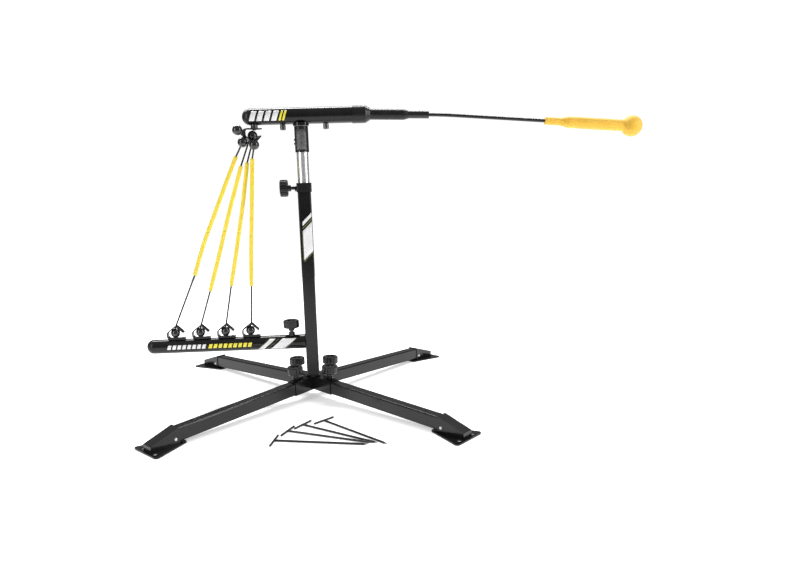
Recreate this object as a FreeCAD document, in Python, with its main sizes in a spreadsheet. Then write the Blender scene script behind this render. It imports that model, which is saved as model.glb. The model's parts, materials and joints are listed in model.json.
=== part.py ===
"""Free-standing swing trainer of the batting tee kind, on a four-legged steel base.

A square post carries a sliding mast. A short arm turns on two ball bearings at the mast's top
and holds a flexible shaft with a foam target. Four elastic bands run from a hook under the
arm's left end to four hooks on a fixed lower arm, and swing the arm back after a hit.

Units are millimetres. The origin is on the floor, on the post's axis. +Z is up, the target is
towards +X, the lower arm towards -X and the post's front face towards -Y.
"""
import FreeCAD
import Part
import math
import os
import re

doc = FreeCAD.newDocument("SwingTrainer")

# ---------------------------------------------------------------- driving dimensions
SIZES = [
    ("post_w", 38, "width of the square post"),
    ("post_wall", 1.6, "wall of the post"),
    ("corner", 4, "outer corner radius of the square tubes"),
    ("inner_corner", 2.5, "inner corner radius of the square tubes"),
    ("post_top", 652, "height of the post's upper end"),
    ("hub_z", 47, "height of the point where the four leg axes meet"),
    ("hub_cap_w", 46, "width of the plate that the post is welded to"),
    ("hub_cap_top", 70, "upper face of that plate"),
    ("hub_cap_th", 4, "thickness of that plate"),
    ("droop", 2.4, "slope of the legs towards the floor, degrees"),
    ("leg_w", 32, "width of a leg tube"),
    ("leg_h", 38, "depth of a leg tube"),
    ("leg_wall", 1.6, "wall of a leg tube"),
    ("leg_in", 26, "distance of a leg's inner end from the post's axis"),
    ("leg_out", 520, "distance of a leg's outer end from the post's axis"),
    ("leg_bevel", 497, "where the slanted cut of a leg's outer end starts"),
    ("bevel_angle", 17, "slant of that cut, degrees"),
    ("leg_hole_at", 446, "distance of the small hole in a leg's top face"),
    ("leg_hole_r", 3, "its radius"),
    ("socket_gap", 0.3, "gap between a leg and its socket, each side"),
    ("socket_wall", 2, "wall of a leg socket"),
    ("socket_out", 91, "distance of a socket's mouth from the post's axis"),
    ("knob_at", 73, "distance of a leg's knob from the post's axis"),
    ("nut_r", 10, "corner radius of the hexagon nuts"),
    ("nut_th", 8, "thickness of the leg nuts"),
    ("stud_r", 5, "radius of the knob studs"),
    ("stud_fit", 0.08, "radial clearance of a stud in its nut"),
    ("stud_pass", 0.5, "radial clearance of a stud in a tube wall"),
    ("knob_r", 24.5, "outer radius of a knob"),
    ("knob_th", 23, "thickness of a knob's head"),
    ("knob_edge", 2.5, "chamfer of a knob's rims"),
    ("knob_boss_r", 9.5, "radius of a knob's boss"),
    ("knob_boss_th", 9, "length of a knob's boss"),
    ("flute_r", 5, "radius of the flutes round a knob"),
    ("flute_in", 2.2, "depth of the flutes"),
    ("recess_r", 13, "radius of the recess in a knob's face"),
    ("recess_in", 4, "depth of that recess"),
    ("recess_hub_r", 4.5, "radius of the pip in the recess"),
    ("leg_knob_z", 43, "underside of a leg knob's head above the leg's axis"),
    ("tip_gap", 0.3, "gap between a stud's tip and what it clamps"),
    ("plate_in", 476, "distance of a foot plate's inner edge"),
    ("plate_out", 591, "distance of a foot plate's outer edge"),
    ("plate_in_w", 19, "half width of a foot plate at its inner edge"),
    ("plate_out_w", 59, "half width of a foot plate at its outer edge"),
    ("plate_th", 4, "thickness of a foot plate"),
    ("plate_corner", 9, "corner radius of a foot plate"),
    ("stake_hole_at", 577, "distance of the stake holes"),
    ("stake_hole_off", 30, "their distance to the side of the leg's line"),
    ("stake_hole_r", 6.5, "their radius"),
    ("hood_in", 497, "distance of a foot hood's open end"),
    ("hood_out", 582, "distance of its closed end"),
    ("hood_w", 18.2, "half width of a hood"),
    ("hood_wall", 2, "wall of a hood"),
    ("hood_in_z", 48, "height of a hood at its open end"),
    ("hood_out_z", 20, "height of a hood at its closed end"),
    ("rivet_at", 509, "distance of the foot rivet"),
    ("rivet_z", 18, "height of the foot rivet"),
    ("rivet_r", 3, "radius of its shank"),
    ("rivet_head_r", 5, "radius of its heads"),
    ("rivet_head_th", 1.6, "thickness of its heads"),
    ("arm_z", 176, "height of the lower arm's axis"),
    ("lower_r", 22, "radius of the lower arm"),
    ("lower_wall", 1.6, "wall of the lower arm"),
    ("lower_end", 484, "reach of the lower arm's tube from the post's axis"),
    ("stub_r", 20.3, "radius of the stub inside the lower arm"),
    ("stub_wall", 2.5, "wall of that stub"),
    ("stub_out", 112, "reach of that stub from the post's axis"),
    ("arm_knob_at", 61, "distance of the lower arm's knob from the post's axis"),
    ("arm_nut_th", 11, "thickness of the lower arm's nut"),
    ("arm_knob_z", 221, "underside of the lower arm knob's head"),
    ("cap_wall", 2.5, "wall of the end caps"),
    ("cap_plug", 20, "length of an end cap's plug"),
    ("hook_first", 182.6, "distance of the nearest band hook from the post's axis"),
    ("hook_step", 76.4, "spacing of the band hooks"),
    ("hook_w", 20, "width of a band hook's strap"),
    ("hook_th", 3.5, "thickness of that strap"),
    ("hook_rise", 44, "height of a band hook"),
    ("hook_left", 27.5, "reach of a hook's curl from its peak"),
    ("hook_right", 21, "reach of a hook's free end from its peak"),
    ("hook_bend", 20, "height of a hook's curl and of its free end"),
    ("hook_slot", 6, "width of the cord slot in a band hook"),
    ("hook_screw_at", 18, "distance of a hook's screw from its peak"),
    ("hook_screw_r", 3.5, "radius of a hook screw's head"),
    ("hook_screw_fit", 0.1, "radial clearance of a hook's screw"),
    ("ball_r", 14.3, "radius of the balls on the bands"),
    ("collar_w", 43, "width of the collar on the post's top"),
    ("collar_low", 629, "lower edge of that collar"),
    ("collar_top", 655, "upper face of that collar"),
    ("slide_fit", 0.1, "radial clearance of the mast in the collar"),
    ("lock_z", 641, "height of the mast lock's screw"),
    ("lock_nut_th", 6, "thickness of the lock's nut"),
    ("lock_knob_x", 47.5, "underside of the lock knob's head from the post's axis"),
    ("mast_r", 17, "radius of the mast"),
    ("mast_wall", 1.5, "wall of the mast"),
    ("mast_low", 250, "lower end of the mast tube"),
    ("mast_top", 781, "upper end of the mast tube"),
    ("plug_w", 34.2, "width of the plug that guides the mast in the post"),
    ("plug_th", 12, "thickness of that plug's head"),
    ("plug_in", 25, "length of its spigot"),
    ("housing_r", 20, "radius of the bearing housing"),
    ("housing_low", 742, "lower edge of the housing"),
    ("housing_top", 814, "upper edge of the housing"),
    ("housing_throat_r", 11.5, "radius of the housing's bore between the bearings"),
    ("bearing_r", 14, "outer radius of a bearing"),
    ("bearing_th", 7, "width of a bearing"),
    ("lower_bearing_z", 790, "lower face of the lower bearing"),
    ("spindle_r", 7.45, "radius of the spindle"),
    ("spindle_fit", 0.05, "radial clearance of the spindle in the bearings"),
    ("spindle_low", 782, "lower end of the spindle"),
    ("spindle_nut_r", 10.5, "corner radius of the spindle's nut"),
    ("spindle_nut_th", 7, "thickness of the spindle's nut"),
    ("head_z", 824.7, "underside of the spindle's head, inside the upper arm"),
    ("head_r", 10.8, "radius of that head"),
    ("head_th", 6, "thickness of that head"),
    ("washer_th", 1.5, "thickness of the thrust washer"),
    ("saddle_r", 23, "radius of the saddle under the upper arm"),
    ("saddle_low", 815.6, "underside of the saddle"),
    ("saddle_top", 824, "tips of the saddle's cradle"),
    ("upper_z", 843, "height of the upper arm's axis"),
    ("upper_r", 23, "radius of the upper arm"),
    ("upper_wall", 1.6, "wall of the upper arm"),
    ("upper_left", 144, "reach of the upper arm's tube to the left"),
    ("upper_right", 172, "reach of the upper arm's tube to the right"),
    ("reducer_r", 24.8, "radius of the reducer collar"),
    ("reducer_in", 148, "left face of the reducer collar"),
    ("reducer_mid", 186, "where the reducer collar starts to taper"),
    ("reducer_out", 200, "right face of the reducer collar"),
    ("reducer_nose_r", 16.5, "radius of its right face"),
    ("shaft_tilt", 1.8, "slope of the sleeve in the collar, degrees"),
    ("sleeve_r", 15, "radius of the shaft sleeve"),
    ("sleeve_mid", 126, "where the shaft sleeve starts to taper, from the arm's right end"),
    ("sleeve_out", 138, "right end of the shaft sleeve, from the arm's right end"),
    ("holder_r", 10.7, "radius of the shaft holder"),
    ("holder_in", 68, "left end of the shaft holder, from the arm's right end"),
    ("holder_out", 198, "right end of the shaft holder, from the arm's right end"),
    ("shaft_r", 4.9, "radius of the flexible shaft"),
    ("shaft_in", 78, "left end of the flexible shaft, from the arm's right end"),
    ("bend_run", 80, "length over which the shaft bends down"),
    ("shaft_sag", 2.8, "bend of the shaft, degrees"),
    ("shaft_run", 520, "length of the shaft's straight outer part"),
    ("foam_at", 262, "start of the foam head along the straight part"),
    ("foam_neck_r", 11, "radius of the foam head's neck"),
    ("foam_neck_run", 44, "length of that neck"),
    ("foam_taper", 26, "length of the taper after the neck"),
    ("foam_r", 16.3, "radius of the foam sleeve"),
    ("foam_run", 260, "length of the foam head up to the ball's centre"),
    ("foam_ball_r", 30.1, "radius of the foam ball at the tip"),
    ("arm_nut_sink", 2, "depth of the lower arm's nut below the arm's top"),
    ("set_screw_r", 3, "radius of the housing's set screws"),
    ("set_screw_out", 2.5, "reach of the set screws out of the housing"),
    ("set_screw_drop_a", 4, "first set screw below the mast's upper end"),
    ("set_screw_drop_b", 15, "second set screw below the mast's upper end"),
    ("shield_in", 0.6, "depth of the ring grooves in a bearing's faces"),
    ("race_wall", 2, "width of a bearing's inner and outer rings"),
    ("hook_foot", 24, "reach of a hook's foot to the right of its peak"),
    ("hook_head_th", 2.4, "thickness of a hook screw's head"),
    ("hook_thread_r", 2.1, "radius of a hook screw's shank"),
    ("hook_thread", 4, "length of that shank in the lower arm"),
    ("ball_off", 4, "distance of a lower ball's middle to the left of its hook's peak"),
    ("ball_gap", 1.5, "gap under a lower ball"),
    ("top_ball_off", 1, "distance of the inner top ball to the left of its hook's peak"),
    ("top_ball_gap", 3, "gap between that ball and the top hook's foot"),
    ("stop_left", 52, "distance of the left arm bolt from the axis"),
    ("stop_right", 72, "distance of the right arm bolt from the axis"),
    ("bolt_head_r", 8, "radius of the arm bolts' heads"),
    ("bolt_head_th", 13, "length of the arm bolts' heads"),
    ("bolt_r", 4, "radius of the arm bolts' shanks"),
    ("bolt_in", 10, "reach of the shanks into the arm"),
    ("top_hook_x", 134, "distance of the top hook's bolt from the axis"),
    ("top_hook_z", 812, "face of the spacer that the top hook is bolted to"),
    ("top_hook_turn", 30, "turn of the top hook about its bolt, degrees"),
    ("top_bolt_at", 6, "distance of that bolt from the hook's peak"),
    ("top_bolt_r", 4, "radius of that bolt"),
    ("band_r", 6, "radius of an elastic tube"),
    ("cord_r", 1.7, "radius of the bands' cords"),
    ("stake_r", 3, "radius of a ground stake"),
    ("stake_run", 250, "length of a ground stake's rod"),
    ("stake_tip", 12, "length of its point"),
    ("stake_bar", 70, "length of its cross handle"),
]

LEGS = {"front_right": -45, "rear_right": 45, "rear_left": 135, "front_left": -135}
FLUTES = 8
ARM_KNOB_TURN = 11

# Each stake lies on the floor: handle's middle (x, y) and heading of the rod in degrees.
STAKES = {
    "stake_a": (35, -239, -48.5),
    "stake_b": (-23, -265, -37.2),
    "stake_c": (-62, -307, -25.5),
    "stake_d": (-93, -371, -12),
}

# The route of each band, (x, y, z) from the peak of its hook up to the top hook.
BANDS = {
    "band_1": [(-411, 0, 243), (-341, -2, 394), (-297, -5, 509), (-191, -8, 735), (-171, -3, 763)],
    "band_2": [(-335, 0, 243), (-299, -2, 345), (-250, -4, 504), (-179, -6, 708), (-155, -3, 768)],
    "band_3": [(-259, 0, 243), (-235, -1, 358), (-198, -2, 560), (-161, -1, 717), (-146, 0, 762)],
    "band_4": [(-182, 0, 243), (-174, -2, 356), (-158, -6, 560), (-144, -14, 728), (-138, -21, 750)],
}

# Middles of the three balls that hang beside the top hook. The fourth is inside it.
TOP_BALLS = [(-178, -36, 806), (-167, -24, 773), (-134, -30, 765)]

sheet = doc.addObject("Spreadsheet::Sheet", "Sizes")
for row, (alias, value, note) in enumerate(SIZES, start=1):
    sheet.set(f"A{row}", note)
    sheet.set(f"B{row}", str(value))
    sheet.setAlias(f"B{row}", alias)
doc.recompute()

NAMES = {alias for alias, value, note in SIZES}


# ---------------------------------------------------------------- helpers
def size(alias):
    """A driving dimension, as a number."""
    return float(sheet.get(alias))


def formula(text):
    """A formula of size names, spelled as an expression on the sheet."""
    return re.sub(r"[a-z]\w*", lambda w: "Sizes." + w[0] if w[0] in NAMES else w[0], str(text))


def bind(thing, **formulas):
    for name, text in formulas.items():
        thing.setExpression(name, formula(text))
    return thing


def put(thing, x=0, y=0, z=0, turn=None):
    """Place a thing at formulas x, y, z, after an optional turn."""
    if turn:
        thing.Placement = FreeCAD.Placement(FreeCAD.Vector(), turn)
    for name, text in zip("xyz", (x, y, z)):
        thing.setExpression("Placement.Base." + name, formula(text))
    return thing


def about(axis, angle):
    return FreeCAD.Rotation(FreeCAD.Vector(*axis), angle)


ALONG_X = about((0, 1, 0), 90)
ALONG_MINUS_X = about((0, 1, 0), -90)
ALONG_Y = about((1, 0, 0), -90)
UPSIDE_DOWN = about((1, 0, 0), 180)


def box(name, length, width, height, x=0, y=0, z=0, turn=None):
    """A box with its middle on x's face: it starts at x and z and is centred on y."""
    thing = bind(doc.addObject("Part::Box", name), Length=length, Width=width, Height=height)
    return put(thing, x, f"{y} - ({width}) / 2", z, turn)


def rod(name, radius, length, x=0, y=0, z=0, turn=None):
    """A cylinder that starts at x, y, z and runs along +Z, or where the turn points it."""
    thing = bind(doc.addObject("Part::Cylinder", name), Radius=radius, Height=length)
    return put(thing, x, y, z, turn)


def taper(name, radius_a, radius_b, length, x=0, y=0, z=0, turn=None):
    thing = doc.addObject("Part::Cone", name)
    bind(thing, Radius1=radius_a, Radius2=radius_b, Height=length)
    return put(thing, x, y, z, turn)


def ball(name, radius, x=0, y=0, z=0):
    return put(bind(doc.addObject("Part::Sphere", name), Radius=radius), x, y, z)


def hexagon(name, corner_r, length, x=0, y=0, z=0, turn=None):
    thing = doc.addObject("Part::Prism", name)
    thing.Polygon = 6
    bind(thing, Circumradius=corner_r, Height=length)
    return put(thing, x, y, z, turn)


def rounded(name, plain, direction, radius):
    """The box with its edges along a direction rounded."""
    doc.recompute()
    axis = FreeCAD.Vector(*direction)
    fillet = doc.addObject("Part::Fillet", name)
    fillet.Base = plain
    fillet.Edges = [
        (number, radius, radius)
        for number, edge in enumerate(plain.Shape.Edges, start=1)
        if abs(edge.tangentAt(edge.FirstParameter).dot(axis)) > 0.999
    ]
    return fillet


def fuse(name, *things):
    whole = doc.addObject("Part::MultiFuse", name)
    whole.Shapes = list(things)
    return whole


def cut(name, body, *tools):
    rest = doc.addObject("Part::Cut", name)
    rest.Base = body
    rest.Tool = tools[0] if len(tools) == 1 else fuse(name + "_tools", *tools)
    return rest


def group(name, *things):
    """Separate solids that share a name, or one solid that is placed again."""
    whole = doc.addObject("Part::Compound", name)
    whole.Links = list(things)
    return whole


def leg_place(azimuth):
    """From a leg's own frame, +X outwards along its axis, to the part's frame."""
    turn = about((0, 0, 1), azimuth).multiply(about((0, 1, 0), size("droop")))
    return FreeCAD.Placement(FreeCAD.Vector(0, 0, size("hub_z")), turn)


def foot_place(azimuth):
    """From a foot's own frame, +X outwards along the floor, to the part's frame."""
    return FreeCAD.Placement(FreeCAD.Vector(), about((0, 0, 1), azimuth))


def again(name, thing, place):
    copy = group(name, thing)
    copy.Placement = place
    return copy


PARTS = []


def part(name, thing):
    """Give a finished piece its name."""
    thing.Label = name
    PARTS.append(thing)
    return thing


# ---------------------------------------------------------------- base
def square_tube(name, length, width, height, wall, x):
    """A tube along +X, centred on its axis, with rounded corners."""
    outer = box(name + "_outer", length, width, height, x, 0, f"-({height}) / 2")
    inner_w, inner_h = f"{width} - 2 * ({wall})", f"{height} - 2 * ({wall})"
    inner = box(name + "_inner", f"{length} + 2", inner_w, inner_h, f"{x} - 1", 0, f"-({inner_h}) / 2")
    along = (1, 0, 0)
    outer = rounded(name + "_outer_round", outer, along, size("corner"))
    inner = rounded(name + "_inner_round", inner, along, size("inner_corner"))
    return outer, inner


def make_hub():
    """Four leg sockets, welded into a cross under a square plate."""
    socket_w = "(leg_w + 2 * socket_gap + 2 * socket_wall)"
    socket_h = "(leg_h + 2 * socket_gap + 2 * socket_wall)"
    outer, inner = square_tube("socket", "socket_out", socket_w, socket_h, "socket_wall", "0")
    pass_r = "stud_r + stud_pass"
    hole = rod("socket_hole", pass_r, "socket_wall + 4", "knob_at", 0, "leg_h / 2 + socket_gap - 2")
    outers = [again(f"socket_{n}", outer, leg_place(a)) for n, a in LEGS.items()]
    inners = [again(f"socket_room_{n}", inner, leg_place(a)) for n, a in LEGS.items()]
    holes = [again(f"socket_hole_{n}", hole, leg_place(a)) for n, a in LEGS.items()]
    plate = box("hub_cap", "hub_cap_w", "hub_cap_w", "hub_cap_th", "-hub_cap_w / 2", 0,
                "hub_cap_top - hub_cap_th")
    plate = rounded("hub_cap_round", plate, (0, 0, 1), size("corner"))
    cross = fuse("hub_cross", plate, *outers)
    part("hub_sockets", cut("hub", cross, *inners, *holes))


def make_nut(name, thickness, corner_r, bore_r):
    blank = hexagon(name + "_blank", corner_r, thickness)
    return cut(name, blank, rod(name + "_bore", bore_r, f"{thickness} + 2", 0, 0, -1))


def make_socket_nuts():
    nut = make_nut("socket_nut", "nut_th", "nut_r", "stud_r + stud_fit")
    seat = FreeCAD.Vector(size("knob_at"), 0, size("leg_h") / 2 + size("socket_gap") + size("socket_wall"))
    nuts = []
    for name, azimuth in LEGS.items():
        place = leg_place(azimuth).multiply(FreeCAD.Placement(seat, FreeCAD.Rotation()))
        nuts.append(again(f"socket_nut_{name}", nut, place))
    part("socket_nuts", group("nuts", *nuts))


def make_post():
    run = "post_top - hub_cap_top"
    inner_w = "post_w - 2 * post_wall"
    outer = box("post_outer", "post_w", "post_w", run, "-post_w / 2", 0, "hub_cap_top")
    inner = box("post_inner", inner_w, inner_w, f"{run} + 2", f"-({inner_w}) / 2", 0, "hub_cap_top - 1")
    outer = rounded("post_outer_round", outer, (0, 0, 1), size("corner"))
    inner = rounded("post_inner_round", inner, (0, 0, 1), size("inner_corner"))
    hole = rod("post_hole", "stud_r + stud_pass", "post_w / 2", 0, 0, "lock_z", ALONG_MINUS_X)
    part("post_tube", cut("post", outer, inner, hole))

    collar = box("collar_block", "collar_w", "collar_w", "collar_top - collar_low", "-collar_w / 2", 0,
                 "collar_low")
    collar = rounded("collar_round", collar, (0, 0, 1), size("corner") + 1)
    seat = box("collar_seat", "post_w", "post_w", "post_top - collar_low + 1", "-post_w / 2", 0,
               "collar_low - 1")
    seat = rounded("collar_seat_round", seat, (0, 0, 1), size("corner"))
    bore = rod("collar_bore", "mast_r + slide_fit", "collar_top - collar_low + 2", 0, 0, "collar_low - 1")
    screw = rod("collar_hole", "stud_r + stud_pass", "collar_w / 2 + 1", 0, 0, "lock_z", ALONG_MINUS_X)
    part("post_collar", cut("collar", collar, seat, bore, screw))

    nut = make_nut("lock_nut_piece", "lock_nut_th", "nut_r", "stud_r + stud_fit")
    place = FreeCAD.Placement(FreeCAD.Vector(-size("collar_w") / 2, 0, size("lock_z")), ALONG_MINUS_X)
    part("lock_nut", again("lock_nut_set", nut, place))


def pipe(name, radius, wall, length, x=0, y=0, z=0, turn=None):
    """A round tube that starts at x, y, z."""
    outer = rod(name + "_outer", radius, length, x, y, z, turn)
    inner = rod(name + "_inner", f"{radius} - ({wall})", length, x, y, z, turn)
    return cut(name, outer, inner)


def end_cap(name, radius, wall, x, z):
    """A hollow half ball, open towards +X, with a plug inside the tube."""
    dome = ball(name + "_dome", radius, x, 0, z)
    room = ball(name + "_room", f"{radius} - cap_wall", x, 0, z)
    half = box(name + "_half", f"2 * {radius}", f"3 * {radius}", f"4 * {radius}", x, 0, f"{z} - 2 * {radius}")
    shell = cut(name + "_shell", dome, room, half)
    plug_r = f"({radius} - {wall})"
    plug = rod(name + "_plug", plug_r, "cap_plug", x, 0, z, ALONG_X)
    bore = rod(name + "_bore", f"{plug_r} - cap_wall", "cap_plug + 2", f"{x} - 1", 0, z, ALONG_X)
    rim = rod(name + "_rim", f"{radius} - cap_wall + 0.5", "cap_wall", f"{x} - cap_wall", 0, z, ALONG_X)
    rim_bore = rod(name + "_rim_bore", f"{plug_r} - cap_wall", "cap_wall + 2", f"{x} - cap_wall - 1", 0, z,
                   ALONG_X)
    ring = cut(name + "_ring", fuse(name + "_core", plug, rim), bore, rim_bore)
    return fuse(name, shell, ring)


def make_lower_arm():
    stub = pipe("stub", "stub_r", "stub_wall", "stub_out - post_w / 2", "-post_w / 2", 0, "arm_z",
                ALONG_MINUS_X)
    part("lower_arm_stub", stub)

    tube = pipe("lower_tube", "lower_r", "lower_wall", "lower_end - post_w / 2", "-post_w / 2", 0, "arm_z",
                ALONG_MINUS_X)
    hole = rod("lower_hole", "stud_r + stud_pass", "lower_r", "-arm_knob_at", 0, "arm_z + 5")
    make_band_hooks(cut("lower_arm_blank", tube, hole))
    part("lower_arm_cap", end_cap("lower_cap", "lower_r", "lower_wall", "-lower_end", "arm_z"))

    nut = make_nut("arm_nut_piece", "arm_nut_th", "nut_r", "stud_r + stud_fit")
    top = FreeCAD.Vector(-size("arm_knob_at"), 0, size("arm_z") + size("lower_r") - size("arm_nut_sink"))
    place = FreeCAD.Placement(top, FreeCAD.Rotation())
    saddle = rod("arm_nut_seat", "lower_r", "4 * nut_r", "-arm_knob_at - 2 * nut_r", 0, "arm_z", ALONG_X)
    blank = again("arm_nut_set", nut, place)
    part("lower_arm_nut", cut("arm_nut", blank, saddle))


def bent_line(points, radii):
    """A line between points (x, z) in the XZ plane, rounded at each inner point."""
    corners = [FreeCAD.Vector(x, 0, z) for x, z in points]
    edges = []
    start = corners[0]
    for before, corner, after, radius in zip(corners, corners[1:], corners[2:], radii):
        into = (corner - before).normalize()
        out = (after - corner).normalize()
        turn = into.getAngle(out)
        cut_back = radius * math.tan(turn / 2)
        first, last = corner - into * cut_back, corner + out * cut_back
        inward = (out - into).normalize()
        middle = corner + inward * radius * (1 / math.cos(turn / 2) - 1)
        edges.append(Part.LineSegment(start, first).toShape())
        edges.append(Part.Arc(first, middle, last).toShape())
        start = last
    edges.append(Part.LineSegment(start, corners[-1]).toShape())
    return Part.Wire(edges)


def strap(name, line, thickness, width):
    """A flat strap bent along a line, centred on it and on y = 0."""
    outline = line.makeOffset2D(thickness / 2, 2, False, False)
    solid = Part.Face(outline).extrude(FreeCAD.Vector(0, width, 0))
    solid.translate(FreeCAD.Vector(0, -width / 2, 0))
    thing = doc.addObject("Part::Feature", name)
    thing.Shape = solid
    return thing


def make_hook(name, bolt_at, bolt_r):
    """A bent strap: a flat foot on z = 0, a curl on the left, a slotted peak and a free right end."""
    half = size("hook_th") / 2
    bend_z = size("hook_bend") + half
    points = [
        (size("hook_foot"), half),
        (-size("hook_left"), half),
        (-size("hook_left"), bend_z),
        (0, size("hook_rise") - half),
        (size("hook_right"), bend_z),
    ]
    body = strap(name + "_strap", bent_line(points, [9, 8, 5]), size("hook_th"), size("hook_w"))
    slot = box(name + "_slot", "hook_right + 10", "hook_slot", "hook_rise", "-hook_slot / 2", 0,
               "hook_bend - 8")
    hole = rod(name + "_hole", bolt_r, "3 * hook_th", bolt_at, 0, "-hook_th")
    return cut(name, body, slot, hole)


def make_band_hooks(arm_blank):
    """Hooks, screws and balls along the lower arm, and the arm with the screws' holes."""
    hook = make_hook("hook", "hook_screw_at", "hook_thread_r + hook_screw_fit")
    head = rod("hook_screw_head", "hook_screw_r", "hook_head_th", "hook_screw_at", 0, "hook_th")
    shank = rod("hook_screw_shank", "hook_thread_r", "hook_th + hook_thread", "hook_screw_at", 0,
                "-hook_thread")
    screw = fuse("hook_screw", head, shank)
    pilot = rod("hook_pilot", "hook_thread_r", "2 * hook_thread", "hook_screw_at", 0, "-hook_thread - 1")
    bead = ball("hook_ball", "ball_r", "-ball_off", 0, "hook_th + ball_r + ball_gap")

    copies = {
        "band_hooks": (hook, []),
        "hook_screws": (screw, []),
        "lower_balls": (bead, []),
        "pilots": (pilot, []),
    }
    for number in range(4):
        x = -size("hook_first") - number * size("hook_step")
        place = FreeCAD.Placement(FreeCAD.Vector(x, 0, size("arm_z") + size("lower_r")), FreeCAD.Rotation())
        for name, (piece, placed) in copies.items():
            placed.append(again(f"{name}_{number + 1}", piece, place))
    for name in ("band_hooks", "hook_screws", "lower_balls"):
        part(name, group(name + "_set", *copies[name][1]))
    part("lower_arm_tube", cut("lower_arm", arm_blank, *copies["pilots"][1]))


# ---------------------------------------------------------------- legs and feet
def make_legs():
    outer, inner = square_tube("leg", "leg_out - leg_in", "leg_w", "leg_h", "leg_wall", "leg_in")
    bevel = box("leg_bevel_cut", "90", "leg_w + 4", "60", "leg_bevel", 0, "leg_h / 2 - 0.3",
                about((0, 1, 0), size("bevel_angle")))
    small = rod("leg_small_hole", "leg_hole_r", "6", "leg_hole_at", 0, "leg_h / 2 - 3")
    rivet = rod("leg_rivet_hole", "rivet_r", "leg_w + 4", "rivet_at", "-leg_w / 2 - 2", "rivet_z", ALONG_Y)
    rivet_hole = again("leg_rivet_room", rivet, leg_place(0).inverse())
    tube = cut("leg_tube", outer, inner, bevel, small, rivet_hole)
    for name, azimuth in LEGS.items():
        part(f"leg_tube_{name}", again(f"leg_{name}", tube, leg_place(azimuth)))


def wedge(name, x_in, x_out, half_in, half_out, top_in, top_out, low=0):
    """A block along +X whose half width and height change from one end to the other."""
    block = doc.addObject("Part::Wedge", name)
    bind(block, Ymin=x_in, Ymax=x_out, Xmin=f"-({half_in})", Xmax=half_in, X2min=f"-({half_out})",
         X2max=half_out, Zmin=low, Z2min=low, Zmax=top_in, Z2max=top_out)
    block.Placement = FreeCAD.Placement(FreeCAD.Vector(), about((0, 0, 1), -90))
    return block


def make_feet():
    """A flared plate with a sloped hood, which closes the leg's outer end."""
    plate = wedge("plate", "plate_in", "plate_out", "plate_in_w", "plate_out_w", "plate_th", "plate_th")
    plate = rounded("plate_round", plate, (0, 0, 1), size("plate_corner"))
    holes = [
        rod(f"stake_hole_{side}", "stake_hole_r", "plate_th + 2", "stake_hole_at",
            f"{side} * stake_hole_off", -1)
        for side in (-1, 1)
    ]
    flat = cut("foot_plate", plate, *holes)
    hood = wedge("hood", "hood_in", "hood_out", "hood_w", "hood_w", "hood_in_z", "hood_out_z")
    room = wedge("hood_room", "hood_in - 1", "hood_out - hood_wall", "hood_w - hood_wall", "hood_w - hood_wall",
                 "hood_in_z - hood_wall", "hood_out_z - hood_wall + 0.4", "plate_th")
    shell = cut("hood_shell", hood, room)
    rivet = rod("foot_rivet_hole", "rivet_r", "3 * hood_w", "rivet_at", "-1.5 * hood_w", "rivet_z", ALONG_Y)
    foot = cut("foot", fuse("foot_blank", flat, shell), rivet)

    shank = rod("rivet_shank", "rivet_r", "2 * hood_w", "rivet_at", "-hood_w", "rivet_z", ALONG_Y)
    heads = [
        taper("rivet_head_near", "rivet_head_r - 1.2", "rivet_head_r", "rivet_head_th", "rivet_at",
              "-hood_w - rivet_head_th", "rivet_z", ALONG_Y),
        taper("rivet_head_far", "rivet_head_r", "rivet_head_r - 1.2", "rivet_head_th", "rivet_at",
              "hood_w", "rivet_z", ALONG_Y),
    ]
    whole_rivet = fuse("rivet", shank, *heads)
    for name, azimuth in LEGS.items():
        part(f"foot_{name}", again(f"foot_set_{name}", foot, foot_place(azimuth)))
        part(f"foot_rivet_{name}", again(f"rivet_set_{name}", whole_rivet, foot_place(azimuth)))


# ---------------------------------------------------------------- clamp knobs
def make_knob(name, stud_run):
    """A fluted head moulded on its stud. +Z points away from the stud, z = 0 is the head's underside."""
    body = rod(name + "_body", "knob_r", "knob_th - 2 * knob_edge", 0, 0, "knob_edge")
    low = taper(name + "_low", "knob_r - knob_edge", "knob_r", "knob_edge")
    top = taper(name + "_top", "knob_r", "knob_r - knob_edge", "knob_edge", 0, 0, "knob_th - knob_edge")
    boss = rod(name + "_boss", "knob_boss_r", "knob_boss_th + 1", 0, 0, "-knob_boss_th")
    stud = rod(name + "_stud", "stud_r", f"{stud_run} + knob_th / 2", 0, 0, f"-({stud_run})")
    flutes = []
    for number in range(FLUTES):
        angle = 360 / FLUTES * (number + 0.5)
        reach = "(knob_r + flute_r - flute_in)"
        flutes.append(rod(f"{name}_flute_{number}", "flute_r", "knob_th + 2",
                          f"{reach} * {math.cos(math.radians(angle))}",
                          f"{reach} * {math.sin(math.radians(angle))}", -1))
    recess = cut(name + "_recess",
                 rod(name + "_recess_disc", "recess_r", "recess_in + 1", 0, 0, "knob_th - recess_in"),
                 taper(name + "_pip", "recess_hub_r", "recess_hub_r - 1", "recess_in - 1", 0, 0,
                       "knob_th - recess_in"))
    head = cut(name + "_head", fuse(name + "_blank", low, body, top, boss, stud), recess, *flutes)
    return head


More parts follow.
